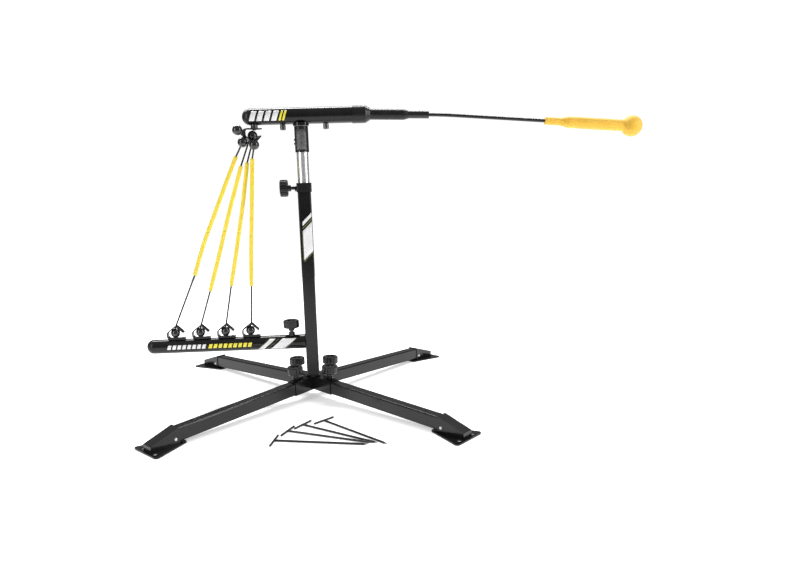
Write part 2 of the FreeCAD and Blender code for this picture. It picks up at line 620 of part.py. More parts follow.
def make_knobs():
    leg_tip = "leg_knob_z - leg_h / 2 - tip_gap"
    leg_knob = make_knob("leg_knob", leg_tip)
    lift = FreeCAD.Placement(FreeCAD.Vector(size("knob_at"), 0, size("leg_knob_z")), FreeCAD.Rotation())
    for name, azimuth in LEGS.items():
        part(f"leg_knob_{name}", again(f"leg_knob_set_{name}", leg_knob, leg_place(azimuth).multiply(lift)))

    arm_knob = make_knob("arm_knob", "arm_knob_z - arm_z - stub_r - tip_gap")
    seat = FreeCAD.Vector(-size("arm_knob_at"), 0, size("arm_knob_z"))
    place = FreeCAD.Placement(seat, about((0, 0, 1), ARM_KNOB_TURN))
    part("lower_arm_knob", again("arm_knob_set", arm_knob, place))

    lock_knob = make_knob("lock_knob", "lock_knob_x - mast_r - tip_gap")
    place = FreeCAD.Placement(FreeCAD.Vector(-size("lock_knob_x"), 0, size("lock_z")), ALONG_MINUS_X)
    part("height_lock_knob", again("lock_knob_set", lock_knob, place))


# ---------------------------------------------------------------- mast and bearings
def make_mast():
    part("mast_tube", pipe("mast", "mast_r", "mast_wall", "mast_top - mast_low", 0, 0, "mast_low"))
    head = box("plug_head", "plug_w", "plug_w", "plug_th", "-plug_w / 2", 0, "mast_low - plug_th")
    head = rounded("plug_head_round", head, (0, 0, 1), size("inner_corner") + 1)
    spigot = rod("plug_spigot", "mast_r - mast_wall", "plug_in", 0, 0, "mast_low")
    bore = rod("plug_bore", "mast_r - 3 * mast_wall", "plug_th + plug_in + 2", 0, 0, "mast_low - plug_th - 1")
    part("mast_plug", cut("plug", fuse("plug_blank", head, spigot), bore))


def make_housing():
    """The housing grips the mast's top, and holds one bearing at its top and one above the nut."""
    body = rod("housing_body", "housing_r", "housing_top - housing_low", 0, 0, "housing_low")
    mast_room = rod("housing_mast", "mast_r", "mast_top - housing_low + 1", 0, 0, "housing_low - 1")
    lower = rod("housing_lower", "bearing_r", "lower_bearing_z + bearing_th - mast_top", 0, 0, "mast_top")
    throat = rod("housing_throat", "housing_throat_r", "housing_top - mast_top", 0, 0, "mast_top")
    upper = rod("housing_upper", "bearing_r", "bearing_th + 1", 0, 0, "housing_top - bearing_th")
    screw_holes, screws = [], []
    for name in ("a", "b"):
        height = f"mast_top - set_screw_drop_{name}"
        screw_holes.append(rod(f"set_hole_{name}", "set_screw_r", "housing_r", 0, 0, height, ALONG_MINUS_X))
        screws.append(rod(f"set_screw_{name}", "set_screw_r", "housing_r + set_screw_out - mast_r",
                          "-mast_r", 0, height, ALONG_MINUS_X))
    part("bearing_housing", cut("housing", body, mast_room, lower, throat, upper, *screw_holes))
    part("housing_screws", group("set_screws", *screws))

    bore = "spindle_r + spindle_fit"
    heights = {"lower_bearing": "lower_bearing_z", "upper_bearing": "housing_top - bearing_th"}
    for name, height in heights.items():
        race = rod(name + "_race", "bearing_r", "bearing_th", 0, 0, height)
        grooves = []
        for side in (0, 1):
            face = f"{height} + {side} * (bearing_th - shield_in)"
            ring = rod(f"{name}_groove_{side}", "bearing_r - race_wall", "shield_in", 0, 0, face)
            core = rod(f"{name}_core_{side}", "spindle_r + race_wall", "shield_in", 0, 0, face)
            grooves.append(cut(f"{name}_shield_{side}", ring, core))
        hole = rod(name + "_bore", bore, "bearing_th + 2", 0, 0, f"{height} - 1")
        part(name, cut(name + "_ring", race, hole, *grooves))

    washer = rod("washer_disc", "housing_r - 2", "washer_th", 0, 0, "housing_top")
    washer_bore = rod("washer_bore", bore, "washer_th + 2", 0, 0, "housing_top - 1")
    part("thrust_washer", cut("washer", washer, washer_bore))


# ---------------------------------------------------------------- turning arm
def make_spindle():
    shaft = rod("spindle_shaft", "spindle_r", "head_z - spindle_low + 1", 0, 0, "spindle_low")
    head = hexagon("spindle_head", "head_r", "head_th", 0, 0, "head_z")
    part("spindle", fuse("spindle_bolt", shaft, head))
    nut = make_nut("spindle_nut_piece", "spindle_nut_th", "spindle_nut_r", "spindle_r")
    place = FreeCAD.Placement(FreeCAD.Vector(0, 0, size("spindle_low") + 0.5), FreeCAD.Rotation())
    part("spindle_nut", again("spindle_nut_set", nut, place))

    disc = rod("saddle_disc", "saddle_r", "saddle_top - saddle_low", 0, 0, "saddle_low")
    cradle = rod("saddle_cradle", "upper_r", "4 * saddle_r", "-2 * saddle_r", 0, "upper_z", ALONG_X)
    hole = rod("saddle_hole", "spindle_r", "20", 0, 0, "saddle_low - 1")
    part("arm_saddle", cut("saddle", disc, cradle, hole))


def make_upper_arm():
    run = "upper_left + upper_right"
    tube = pipe("upper_tube", "upper_r", "upper_wall", run, "-upper_left", 0, "upper_z", ALONG_X)
    floor = "upper_z - upper_r"
    spindle_hole = rod("arm_spindle_hole", "spindle_r", "20", 0, 0, f"{floor} - 5")
    bolts, holes = [], []
    for name, x in (("left", "-stop_left"), ("right", "stop_right")):
        head = rod(f"arm_bolt_head_{name}", "bolt_head_r", "bolt_head_th", x, 0, f"{floor} - bolt_head_th - 1")
        nose = taper(f"arm_bolt_nose_{name}", "bolt_head_r - 1.5", "bolt_head_r", 1.5, x, 0,
                     f"{floor} - bolt_head_th - 2.5")
        shank = rod(f"arm_bolt_shank_{name}", "bolt_r", "bolt_in + 3", x, 0, f"{floor} - 2")
        rest = rod(f"arm_bolt_rest_{name}", "upper_r", "6 * bolt_head_r", f"{x} - 3 * bolt_head_r", 0,
                   "upper_z", ALONG_X)
        collar = rod(f"arm_bolt_collar_{name}", "bolt_head_r - 2", "3", x, 0, f"{floor} - 2")
        trimmed = cut(f"arm_bolt_trim_{name}", fuse(f"arm_bolt_low_{name}", head, nose, collar), rest)
        bolts.append(fuse(f"arm_bolt_{name}", trimmed, shank))
        holes.append(rod(f"arm_bolt_hole_{name}", "bolt_r", "12", x, 0, f"{floor} - 4"))
    hook_hole = rod("hook_bolt_hole", "top_bolt_r", "15", "-top_hook_x", 0, f"{floor} - 4")
    part("upper_arm_tube", cut("upper_arm", tube, spindle_hole, hook_hole, *holes))
    part("arm_bolts", group("arm_bolt_set", *bolts))
    cap = end_cap("upper_cap", "upper_r", "upper_wall", "-upper_left", "upper_z")
    part("upper_arm_cap", cut("upper_cap_drilled", cap, hook_hole))


def make_shaft():
    """Reducer collar, sleeve and holder, each inside the last, and the flexible shaft.

    The sleeve sits in the collar at a slight slope. It, the holder and the shaft are laid out
    along +X from the middle of the arm's right end, and placed together.
    """
    slope = about((0, 1, 0), size("shaft_tilt"))
    place = FreeCAD.Placement(FreeCAD.Vector(size("upper_right"), 0, size("upper_z")), slope)

    body = rod("sleeve_body", "sleeve_r", "sleeve_mid", 0, 0, 0, ALONG_X)
    tip = taper("sleeve_tip", "sleeve_r", "holder_r + 0.6", "sleeve_out - sleeve_mid", "sleeve_mid", 0, 0,
                ALONG_X)
    hole = rod("sleeve_bore", "holder_r", "sleeve_out + 2", -1, 0, 0, ALONG_X)
    sleeve = cut("sleeve", fuse("sleeve_blank", body, tip), hole)
    part("shaft_sleeve", again("sleeve_set", sleeve, place))
    holder = pipe("holder", "holder_r", "holder_r - shaft_r", "holder_out - holder_in", "holder_in", 0, 0,
                  ALONG_X)
    part("shaft_holder", again("holder_set", holder, place))

    thick = rod("reducer_thick", "reducer_r", "reducer_mid - reducer_in", "reducer_in", 0, "upper_z", ALONG_X)
    nose = taper("reducer_nose", "reducer_r", "reducer_nose_r", "reducer_out - reducer_mid", "reducer_mid", 0,
                 "upper_z", ALONG_X)
    seat = rod("reducer_seat", "upper_r", "upper_right - reducer_in + 1", "reducer_in - 1", 0, "upper_z",
               ALONG_X)
    bore = again("reducer_bore", rod("sleeve_room", "sleeve_r", "80", -20, 0, 0, ALONG_X), place)
    part("reducer_collar", cut("reducer", fuse("reducer_blank", thick, nose), seat, bore))

    sag = math.radians(size("shaft_sag"))
    radius = size("bend_run") / math.sin(sag)
    bend = size("holder_out")
    bend_end = FreeCAD.Vector(bend + size("bend_run"), 0, -radius * (1 - math.cos(sag)))
    half = FreeCAD.Vector(bend + radius * math.sin(sag / 2), 0, -radius * (1 - math.cos(sag / 2)))
    onward = FreeCAD.Vector(math.cos(sag), 0, -math.sin(sag))
    start = FreeCAD.Vector(size("shaft_in"), 0, 0)
    route = Part.Wire([
        Part.LineSegment(start, FreeCAD.Vector(bend, 0, 0)).toShape(),
        Part.Arc(FreeCAD.Vector(bend, 0, 0), half, bend_end).toShape(),
        Part.LineSegment(bend_end, bend_end + onward * size("shaft_run")).toShape(),
    ])
    section = Part.Wire([Part.Circle(start, FreeCAD.Vector(1, 0, 0), size("shaft_r")).toShape()])
    shaft = doc.addObject("Part::Feature", "flexible_shaft")
    shaft.Shape = route.makePipeShell([section], True, False)
    shaft.Placement = place
    part("flex_shaft", shaft)
    return place.multiply(FreeCAD.Placement(bend_end, about((0, 1, 0), size("shaft_sag"))))


def make_foam_head(place):
    """Neck, taper, sleeve and ball on the shaft's end, in the frame of the shaft's straight part."""
    neck = rod("foam_neck", "foam_neck_r", "foam_neck_run", "foam_at", 0, 0, ALONG_X)
    slope = taper("foam_slope", "foam_neck_r", "foam_r", "foam_taper", "foam_at + foam_neck_run", 0, 0, ALONG_X)
    sleeve = rod("foam_sleeve", "foam_r", "foam_run - foam_neck_run - foam_taper",
                 "foam_at + foam_neck_run + foam_taper", 0, 0, ALONG_X)
    tip = ball("foam_ball", "foam_ball_r", "foam_at + foam_run")
    bore = rod("foam_bore", "shaft_r", "shaft_run - foam_at + 2", "foam_at - 2", 0, 0, ALONG_X)
    foam = cut("foam", fuse("foam_blank", neck, slope, sleeve, tip), bore)
    part("foam_head", again("foam_set", foam, place))


def make_top_hook():
    """A hook of the same kind under the arm's left end, upside down and turned about its bolt."""
    hook = make_hook("top_hook_piece", "top_bolt_at", "top_bolt_r")
    bead = ball("top_ball_inner", "ball_r", "-top_ball_off", 0, "hook_th + ball_r + top_ball_gap")
    turn = about((0, 0, 1), size("top_hook_turn")).multiply(UPSIDE_DOWN)
    shift = FreeCAD.Vector(-size("top_hook_x"), 0, size("top_hook_z"))
    from_bolt = FreeCAD.Placement(FreeCAD.Vector(-size("top_bolt_at"), 0, 0), FreeCAD.Rotation())
    place = FreeCAD.Placement(shift, turn).multiply(from_bolt)
    part("top_hook", again("top_hook_set", hook, place))

    floor = "(upper_z - upper_r)"
    spacer = rod("hook_spacer_disc", "2.5 * top_bolt_r", f"{floor} - top_hook_z + 2", "-top_hook_x", 0,
                 "top_hook_z")
    rest = rod("hook_spacer_rest", "upper_r", "20 * top_bolt_r", "-top_hook_x - 10 * top_bolt_r", 0, "upper_z",
               ALONG_X)
    shank = rod("hook_bolt_shank", "top_bolt_r", f"{floor} - top_hook_z + hook_th + 10", "-top_hook_x", 0,
                "top_hook_z - hook_th")
    head = taper("hook_bolt_head", "top_bolt_r + 1", "top_bolt_r + 3", "2.5", "-top_hook_x", 0,
                 "top_hook_z - hook_th - 2.5")
    part("hook_bolt", fuse("hook_bolt_piece", cut("hook_spacer", spacer, rest), shank, head))

    balls = [ball(f"top_ball_{number}", "ball_r", *middle) for number, middle in enumerate(TOP_BALLS)]
    part("upper_balls", group("top_balls", *balls, again("top_ball_inner_set", bead, place)))


# ---------------------------------------------------------------- bands and stakes
def run_between(name, radius, start, end):
    """A cylinder from one point to another, with round ends."""
    a, b = FreeCAD.Vector(*start), FreeCAD.Vector(*end)
    thing = bind(doc.addObject("Part::Cylinder", name), Radius=radius)
    thing.Height = (b - a).Length
    thing.Placement = FreeCAD.Placement(a, FreeCAD.Rotation(FreeCAD.Vector(0, 0, 1), b - a))
    return thing


def make_bands():
    """A cord from the lower ball, an elastic tube in two runs and a cord to the top hook."""
    for name, route in BANDS.items():
        pieces = [
            run_between(name + "_low_cord", "cord_r", route[0], route[1]),
            run_between(name + "_low_tube", "band_r", route[1], route[2]),
            ball(name + "_bend", "band_r", *route[2]),
            run_between(name + "_high_tube", "band_r", route[2], route[3]),
            run_between(name + "_high_cord", "cord_r", route[3], route[4]),
        ]
        part(name, fuse(name + "_whole", *pieces))


def make_stakes():
    rod_run = rod("stake_rod", "stake_r", "stake_run - stake_tip", 0, 0, "stake_r", ALONG_X)
    point = taper("stake_point", "stake_r", 0.6, "stake_tip", "stake_run - stake_tip", 0, "stake_r", ALONG_X)
    bar = rod("stake_handle", "stake_r", "stake_bar", 0, "-stake_bar / 2", "stake_r", ALONG_Y)
    stake = fuse("stake", rod_run, point, bar)
    for name, (x, y, heading) in STAKES.items():
        place = FreeCAD.Placement(FreeCAD.Vector(x, y, 0), about((0, 0, 1), heading))
        part(name, again(name + "_set", stake, place))


# ---------------------------------------------------------------- build, check and write
def build():
    make_hub()
    make_socket_nuts()
    make_post()
    make_lower_arm()
    make_legs()
    make_feet()
    make_knobs()
    make_mast()
    make_housing()
    make_spindle()
    make_upper_arm()
    make_foam_head(make_shaft())
    make_top_hook()
    make_bands()
    make_stakes()
    doc.recompute()


def check():
    for thing in doc.Objects:
        if "Invalid" in thing.State or "Error" in thing.State:
            raise RuntimeError(f"{thing.Name} did not compute: {thing.State}")
    for thing in PARTS:
        if thing.Shape.isNull() or not thing.Shape.isValid() or not thing.Shape.Solids:
            raise RuntimeError(f"{thing.Label} has no valid solid")


def write():
    os.makedirs("parts", exist_ok=True)
    for thing in PARTS:
        thing.Shape.exportStep(f"parts/{thing.Label}.step")
        volume = thing.Shape.Volume / 1000
        print(f"{thing.Label}: {len(thing.Shape.Solids)} solids, {volume:.2f} cm3")
    print(len(PARTS), "nodes")


build()
check()
write()
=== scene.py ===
"""Looks of the swing trainer: paint, chrome, rubber, latex bands, foam head, stripes and welds.

Everything is in metres in the model's own frame: +Z up, the foam head towards +X, the lower arm
with the band hooks towards -X, and the post's front face towards -Y.
"""
import json
import math
import random

import bmesh
import bpy
from mathutils import Matrix, Vector


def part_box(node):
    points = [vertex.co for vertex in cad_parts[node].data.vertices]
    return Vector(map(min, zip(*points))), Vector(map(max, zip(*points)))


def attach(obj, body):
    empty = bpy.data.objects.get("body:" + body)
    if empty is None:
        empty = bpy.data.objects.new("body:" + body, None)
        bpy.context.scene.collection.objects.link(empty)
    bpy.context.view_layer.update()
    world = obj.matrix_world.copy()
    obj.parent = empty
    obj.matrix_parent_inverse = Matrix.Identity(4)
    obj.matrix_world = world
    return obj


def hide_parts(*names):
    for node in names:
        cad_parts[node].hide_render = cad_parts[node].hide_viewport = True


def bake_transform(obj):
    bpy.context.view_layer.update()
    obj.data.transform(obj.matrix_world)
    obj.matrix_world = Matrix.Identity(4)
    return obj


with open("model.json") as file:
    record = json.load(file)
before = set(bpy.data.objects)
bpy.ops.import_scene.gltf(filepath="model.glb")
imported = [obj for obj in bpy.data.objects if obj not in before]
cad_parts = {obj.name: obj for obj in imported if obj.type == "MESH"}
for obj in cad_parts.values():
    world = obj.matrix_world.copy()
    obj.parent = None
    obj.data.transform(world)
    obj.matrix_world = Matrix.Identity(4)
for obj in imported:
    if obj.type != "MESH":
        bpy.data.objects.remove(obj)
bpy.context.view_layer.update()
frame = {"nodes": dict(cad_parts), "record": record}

MM = 0.001

# ---------------------------------------------------------------- places read from the frame


def middle(node):
    low, high = (Vector(corner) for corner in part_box(node))
    return (low + high) / 2


def spread(node):
    low, high = (Vector(corner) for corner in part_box(node))
    return high - low


POST_HALF = spread("post_tube").x / 2
LOWER_ARM_Z = middle("lower_arm_tube").z
LOWER_ARM_R = spread("lower_arm_tube").z / 2
UPPER_ARM_Z = middle("upper_arm_tube").z
UPPER_ARM_R = spread("upper_arm_tube").z / 2
HOUSING_R = spread("bearing_housing").x / 2
HOUSING_LOW, HOUSING_TOP = (corner[2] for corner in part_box("bearing_housing"))

# ---------------------------------------------------------------- shader groups


def new_group(name, inputs, outputs):
    """A shader node group with named sockets: inputs are (name, type, default), outputs (name, type)."""
    group = bpy.data.node_groups.new(name, "ShaderNodeTree")
    for label, kind, default in inputs:
        socket = group.interface.new_socket(label, in_out="INPUT", socket_type=kind)
        socket.default_value = default
    for label, kind in outputs:
        group.interface.new_socket(label, in_out="OUTPUT", socket_type=kind)
    start = group.nodes.new("NodeGroupInput")
    end = group.nodes.new("NodeGroupOutput")
    return group, start.outputs, end.inputs


def node(tree, kind, **values):
    """A node with its properties and inputs set. A value that is a socket is linked."""
    made = tree.nodes.new(kind)
    for name, value in values.items():
        if hasattr(made, name) and name not in made.inputs:
            setattr(made, name, value)
            continue
        label = name.replace("_", " ")
        socket = made.inputs[int(name[1:])] if name[0] == "i" and name[1:].isdigit() else made.inputs[label]
        if isinstance(value, bpy.types.NodeSocket):
            tree.links.new(value, socket)
        else:
            socket.default_value = value
    return made


def math_node(tree, operation, first, second=0.0, clamp=False):
    made = node(tree, "ShaderNodeMath", operation=operation, use_clamp=clamp, i0=first, i1=second)
    return made.outputs[0]


def ramp(tree, value, low, high):
    """0 below low, 1 above high."""
    made = node(tree, "ShaderNodeMapRange", Value=value)
    made.inputs["From Min"].default_value = low
    made.inputs["From Max"].default_value = high
    return made.outputs["Result"]


def noise(tree, scale, detail=3.0, roughness=0.55, stretch=None):
    place = node(tree, "ShaderNodeTexCoord").outputs["Object"]
    if stretch:
        place = node(tree, "ShaderNodeMapping", Vector=place, Scale=stretch).outputs["Vector"]
    made = node(tree, "ShaderNodeTexNoise", Vector=place, Scale=scale, Detail=detail, Roughness=roughness)
    return made.outputs["Fac"]


def make_grain_group():
    """Fine moulded or sprayed grain: a height, and a roughness that follows it."""
    group, given, out = new_group(
        "grain",
        [("Scale", "NodeSocketFloat", 900.0), ("Roughness", "NodeSocketFloat", 0.4),
         ("Variation", "NodeSocketFloat", 0.1)],
        [("Height", "NodeSocketFloat"), ("Roughness", "NodeSocketFloat")],
    )
    fine = noise(group, given["Scale"], 2.0)
    broad = noise(group, 14.0, 4.0)
    swing = math_node(group, "MULTIPLY", math_node(group, "SUBTRACT", broad, 0.5), given["Variation"])
    small = math_node(group, "MULTIPLY", math_node(group, "SUBTRACT", fine, 0.5), given["Variation"])
    total = math_node(group, "ADD", math_node(group, "ADD", given["Roughness"], swing), small, clamp=True)
    group.links.new(fine, out["Height"])
    group.links.new(total, out["Roughness"])
    return group


def make_tint_group():
    """Two close colours that drift into each other."""
    group, given, out = new_group(
        "tint",
        [("Base", "NodeSocketColor", (0.5, 0.5, 0.5, 1)), ("Other", "NodeSocketColor", (0.6, 0.6, 0.6, 1)),
         ("Scale", "NodeSocketFloat", 20.0)],
        [("Color", "NodeSocketColor")],
    )
    cloud = ramp(group, noise(group, given["Scale"], 5.0), 0.35, 0.65)
    mixed = node(group, "ShaderNodeMix", data_type="RGBA")
    group.links.new(cloud, mixed.inputs[0])
    group.links.new(given["Base"], mixed.inputs[6])
    group.links.new(given["Other"], mixed.inputs[7])
    group.links.new(mixed.outputs[2], out["Color"])
    return group


def make_scuff_group():
    """Sparse hairline scratches: a mask of 0 or 1 with soft ends."""
    group, given, out = new_group(
        "scuff",
        [("Amount", "NodeSocketFloat", 0.3)],
        [("Mask", "NodeSocketFloat")],
    )
    hair = noise(group, 60.0, 2.0, 0.5, (1.0, 1.0, 14.0))
    line = ramp(group, hair, 0.66, 0.70)
    where = ramp(group, noise(group, 11.0, 3.0), 0.52, 0.62)
    hairs = math_node(group, "MULTIPLY", line, where)
    mask = math_node(group, "MULTIPLY", hairs, given["Amount"], clamp=True)
    group.links.new(mask, out["Mask"])
    return group


GRAIN = make_grain_group()
TINT = make_tint_group()
SCUFF = make_scuff_group()

# ---------------------------------------------------------------- materials


def finish(name, base, other, roughness, grain_scale, grain_depth, variation=0.1, tint_scale=20.0, scuffs=0.0,
           scuff_color=(0.12, 0.12, 0.12, 1), **shader):
    """A Principled material with drifting colour, grain, a bump and, where it is used, scratches."""
    material = bpy.data.materials.new(name)
    material.use_nodes = True
    tree = material.node_tree
    surface = tree.nodes["Principled BSDF"]
    tint = node(tree, "ShaderNodeGroup", node_tree=TINT)
    tint.inputs["Base"].default_value = (*base, 1)
    tint.inputs["Other"].default_value = (*other, 1)
    tint.inputs["Scale"].default_value = tint_scale
    grain = node(tree, "ShaderNodeGroup", node_tree=GRAIN)
    grain.inputs["Scale"].default_value = grain_scale
    grain.inputs["Roughness"].default_value = roughness
    grain.inputs["Variation"].default_value = variation
    color = tint.outputs["Color"]
    if scuffs:
        scuff = node(tree, "ShaderNodeGroup", node_tree=SCUFF)
        scuff.inputs["Amount"].default_value = scuffs
        worn = node(tree, "ShaderNodeMix", data_type="RGBA")
        tree.links.new(scuff.outputs["Mask"], worn.inputs[0])
        tree.links.new(color, worn.inputs[6])
        worn.inputs[7].default_value = scuff_color
        color = worn.outputs[2]
    tree.links.new(color, surface.inputs["Base Color"])
    tree.links.new(grain.outputs["Roughness"], surface.inputs["Roughness"])
    bump = node(tree, "ShaderNodeBump", Strength=1.0, Distance=grain_depth)
    tree.links.new(grain.outputs["Height"], bump.inputs["Height"])
    tree.links.new(bump.outputs["Normal"], surface.inputs["Normal"])
    for label, value in shader.items():
        surface.inputs[label.replace("_", " ")].default_value = value
    return material


DEEP_BLACK = (0.005, 0.005, 0.0055), (0.008, 0.008, 0.0085)
SOFT_BLACK = (0.006, 0.006, 0.0065), (0.01, 0.01, 0.0105)

# Per finish: its two close colours, roughness, the grain's scale and depth, and whatever else it sets.
FINISHES = {
    "powder_coat": (*DEEP_BLACK, 0.17, 900, 0.000012, dict(variation=0.06, scuffs=0.1, Specular_IOR_Level=0.32)),
    "moulded_black": (*SOFT_BLACK, 0.34, 2600, 0.00003, dict(Specular_IOR_Level=0.32)),
    "knob_plastic": (*SOFT_BLACK, 0.24, 2200, 0.00003, dict(Specular_IOR_Level=0.4)),
    "chrome": ((0.78, 0.78, 0.8), (0.82, 0.82, 0.84), 0.34, 300, 0.000002, dict(variation=0.04, Metallic=1.0)),
    "zinc": ((0.42, 0.42, 0.43), (0.52, 0.52, 0.53), 0.3, 1500, 0.00003, dict(variation=0.15, Metallic=1.0)),
    "dark_zinc": ((0.1, 0.1, 0.1), (0.15, 0.15, 0.15), 0.33, 1500, 0.00003, dict(variation=0.15, Metallic=1.0)),
    "bearing_steel": ((0.55, 0.55, 0.56), (0.6, 0.6, 0.61), 0.16, 900, 0.00001, dict(Metallic=1.0)),
    "nylon": ((0.75, 0.74, 0.7), (0.7, 0.69, 0.65), 0.45, 1800, 0.00003, {}),
    "ball_rubber": (*DEEP_BLACK, 0.14, 900, 0.00001, dict(variation=0.06, Coat_Weight=0.5, Coat_Roughness=0.08)),
    "shaft_black": ((0.006, 0.006, 0.0065), (0.009, 0.009, 0.0095), 0.26, 1600, 0.00002, {}),
    "foam": ((0.74, 0.42, 0.03), (0.78, 0.47, 0.045), 0.62, 1500, 0.00018,
             dict(variation=0.12, tint_scale=26.0, Sheen_Weight=0.12, Sheen_Roughness=0.5)),
    "latex": ((0.8, 0.63, 0.03), (0.83, 0.66, 0.05), 0.33, 700, 0.00004,
              dict(tint_scale=40.0, Subsurface_Weight=0.25, Subsurface_Scale=0.004)),
    "cord_braid": ((0.006, 0.006, 0.006), (0.01, 0.01, 0.01), 0.6, 2600, 0.0001, dict(variation=0.15)),
    "stake_steel": ((0.015, 0.015, 0.016), (0.03, 0.03, 0.031), 0.35, 1200, 0.00005,
                    dict(variation=0.2, scuffs=0.4, Metallic=0.6)),
    "white_vinyl": ((0.74, 0.74, 0.75), (0.8, 0.8, 0.8), 0.32, 700, 0.00001, {}),
    "yellow_vinyl": ((0.78, 0.7, 0.04), (0.84, 0.76, 0.07), 0.32, 700, 0.00001, {}),
    "olive_vinyl": ((0.16, 0.15, 0.03), (0.2, 0.19, 0.05), 0.35, 700, 0.00001, {}),
    "grey_label": ((0.045, 0.045, 0.045), (0.13, 0.13, 0.13), 0.45, 1500, 0.00003, dict(tint_scale=220.0)),
    "weld_bead": (*SOFT_BLACK, 0.25, 900, 0.00005, dict(variation=0.15)),
}
MATERIALS = {name: finish(name, *row[:-1], **row[-1]) for name, row in FINISHES.items()}

NODE_FINISH = {
    "black_paint": "powder_coat",
    "black_plastic": "moulded_black",
    "knob_plastic": "knob_plastic",
    "chrome": "chrome",
    "zinc": "zinc",
    "bearing_steel": "bearing_steel",
    "nylon": "nylon",
    "ball_rubber": "ball_rubber",
    "shaft_black": "shaft_black",
    "yellow_foam": "foam",
    "band_rubber": "latex",
    "stake_steel": "stake_steel",
}
OWN_FINISH = {
    "band_hooks": "moulded_black", "top_hook": "moulded_black", "shaft_holder": "shaft_black",
    "hook_screws": "dark_zinc", "housing_screws": "dark_zinc", "arm_bolts": "dark_zinc", "hook_bolt": "dark_zinc",
}
# Millimetres, by a word of the node's name: the first one that fits is used.
EDGE_ROUNDS = {
    "knob": 0.9, "foot": 0.7, "hub_sockets": 0.6, "leg_tube": 0.35, "collar": 0.8, "housing": 0.8, "hooks": 0.5,
    "top_hook": 0.5, "nut": 0.5, "saddle": 0.6, "cap": 0.5, "bolt": 0.5, "holder": 0.9, "sleeve": 0.8,
}


def dress_frame():
    """Each carried-over node gets its finish and, on hard corners, a small rounded edge."""
    slots = {part["node"]: part["material_slot"] for part in frame["record"]["subparts"]}
    for name, thing in frame["nodes"].items():
        chosen = MATERIALS[OWN_FINISH.get(name, NODE_FINISH[slots[name]])]
        for place in thing.material_slots:
            place.material = chosen
        for key, radius in EDGE_ROUNDS.items():
            if key in name:
                bevel = thing.modifiers.new("edge", "BEVEL")
                bevel.width = radius * MM
                bevel.segments = 2
                bevel.limit_method = "ANGLE"
                bevel.angle_limit = math.radians(40)
                bevel.harden_normals = False
                break


# ---------------------------------------------------------------- mesh helpers


def piece(name, mesh_data, material, body=None, smooth=True):
    """An object from a bmesh, with its finish and the body it rides on."""
    bmesh.ops.recalc_face_normals(mesh_data, faces=mesh_data.faces)
    mesh = bpy.data.meshes.new(name)
    mesh_data.to_mesh(mesh)
    mesh_data.free()
    mesh.materials.append(MATERIALS[material])
    for face in mesh.polygons:
        face.use_smooth = smooth
    made = bpy.data.objects.new(name, mesh)
    bpy.context.collection.objects.link(made)
    if body:
        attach(made, body)
    return made


def join_rings(shape, rings, closed=True):
    """Quads between rings of vertices of one length."""
    count = len(rings[0])
    for one, two in zip(rings, rings[1:]):
        for k in range(count if closed else count - 1):
            after = (k + 1) % count
            shape.faces.new((one[k], one[after], two[after], two[k]))


def ring_at(shape, center, across, up, radius, sides):
    corners = []
    for k in range(sides):
        angle = 2 * math.pi * k / sides
        corners.append(shape.verts.new(center + (across * math.cos(angle) + up * math.sin(angle)) * radius))
    return corners


def lathe(profile, place, sides=64):
    """A closed turned shape. profile is (along +X, radius) in metres and starts and ends on the axis."""
    shape = bmesh.new()
    across, up = Vector((0, 1, 0)), Vector((0, 0, 1))
    rings = [ring_at(shape, Vector((along, 0, 0)), across, up, radius, sides) for along, radius in profile[1:-1]]
    join_rings(shape, rings)
    for ring, (along, _) in ((rings[0], profile[0]), (rings[-1], profile[-1])):
        tip = shape.verts.new((along, 0, 0))
        for k in range(sides):
            shape.faces.new((ring[k], ring[(k + 1) % sides], tip))
    shape.transform(place)
    return shape


def smooth_line(points):
    """Points along the NURBS line of a route's control points."""
    curve = bpy.data.curves.new("route", "CURVE")
    curve.dimensions = "3D"
    spline = curve.splines.new("NURBS")
    spline.points.add(len(points) - 1)
    for place, point in zip(spline.points, points):
        place.co = (*point, 1)
    spline.order_u = 3
    spline.use_endpoint_u = True
    curve.resolution_u = 12
    holder = bpy.data.objects.new("route", curve)
    bpy.context.collection.objects.link(holder)
    bpy.context.view_layer.update()
    mesh = bpy.data.meshes.new_from_object(holder.evaluated_get(bpy.context.evaluated_depsgraph_get()))
    line = [vertex.co.copy() for vertex in mesh.vertices]
    bpy.data.meshes.remove(mesh)
    bpy.data.objects.remove(holder)
    bpy.data.curves.remove(curve)
    return line


def even_line(line, step):
    """The same line with its points about a step apart."""
    lengths = [0.0]
    for one, two in zip(line, line[1:]):
        lengths.append(lengths[-1] + (two - one).length)
    count = max(2, round(lengths[-1] / step))
    spaced, index = [], 0
    for k in range(count + 1):
        wanted = lengths[-1] * k / count
        while index < len(line) - 2 and lengths[index + 1] < wanted:
            index += 1
        part = (wanted - lengths[index]) / max(lengths[index + 1] - lengths[index], 1e-9)
        spaced.append(line[index].lerp(line[index + 1], min(part, 1)))
    return spaced


def frames_along(line):
    """(point, across, up) at each point of a line, turning as little as it can."""
    across = None
    placed = []
    for k, point in enumerate(line):
        tangent = (line[min(k + 1, len(line) - 1)] - line[max(k - 1, 0)]).normalized()
        if across is None:
            helper = Vector((0, 1, 0)) if abs(tangent.y) < 0.8 else Vector((1, 0, 0))
            across = tangent.cross(helper).normalized()
        across = (across - tangent * across.dot(tangent)).normalized()
        placed.append((point, across, tangent.cross(across)))
    return placed


